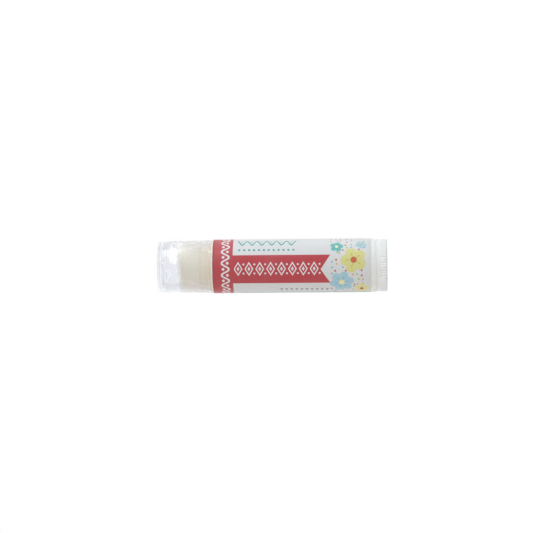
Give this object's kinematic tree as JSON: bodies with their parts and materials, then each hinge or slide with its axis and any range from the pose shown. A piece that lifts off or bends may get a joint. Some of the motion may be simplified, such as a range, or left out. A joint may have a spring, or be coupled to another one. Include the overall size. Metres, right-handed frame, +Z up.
{
  "type": "lip balm stick",
  "caption": "Twist-up lip balm stick: a clear push-on cap over a labelled tube, with a grooved dial whose screw raises the cup that carries the balm.",
  "frame": {"origin": "centre of the dial's foot, on the surface that the stick stands on", "axes": "+Z up along the stick's axis, from the dial to the cap; -Y is the front of the label"},
  "size_m": [0.016, 0.016, 0.068],
  "materials": {
    "cap_clear": "gloss",
    "tube_natural": "satin",
    "cup_white": "satin",
    "dial_natural": "satin",
    "balm_wax": "satin",
    "label_film": "satin"
  },
  "bodies": {
    "tube": {"tube_body": "tube_natural", "label": "label_film"},
    "dial": {"dial_spindle": "dial_natural"},
    "carrier": {"elevator_cup": "cup_white", "balm": "balm_wax"},
    "cap": {"cap": "cap_clear"}
  },
  "joints": [
    {"name": "dial_turn", "type": "hinge", "parent": "tube", "child": "dial", "pos_m": [0, 0, 0], "axis": [0, 0, -1], "range_deg": [0, 4680]},
    {"name": "carrier_rise", "type": "slide", "parent": "tube", "child": "carrier", "axis": [0, 0, 1], "range_m": [0, 0.0455]},
    {"name": "cap_pull", "type": "slide", "parent": "carrier", "child": "cap", "axis": [0, 0, 1], "range_m": [0, 0.03]}
  ],
  "couplings": [
    {"joint": "dial_turn", "follows": "carrier_rise", "rad_per_m": 1795.2}
  ]
}
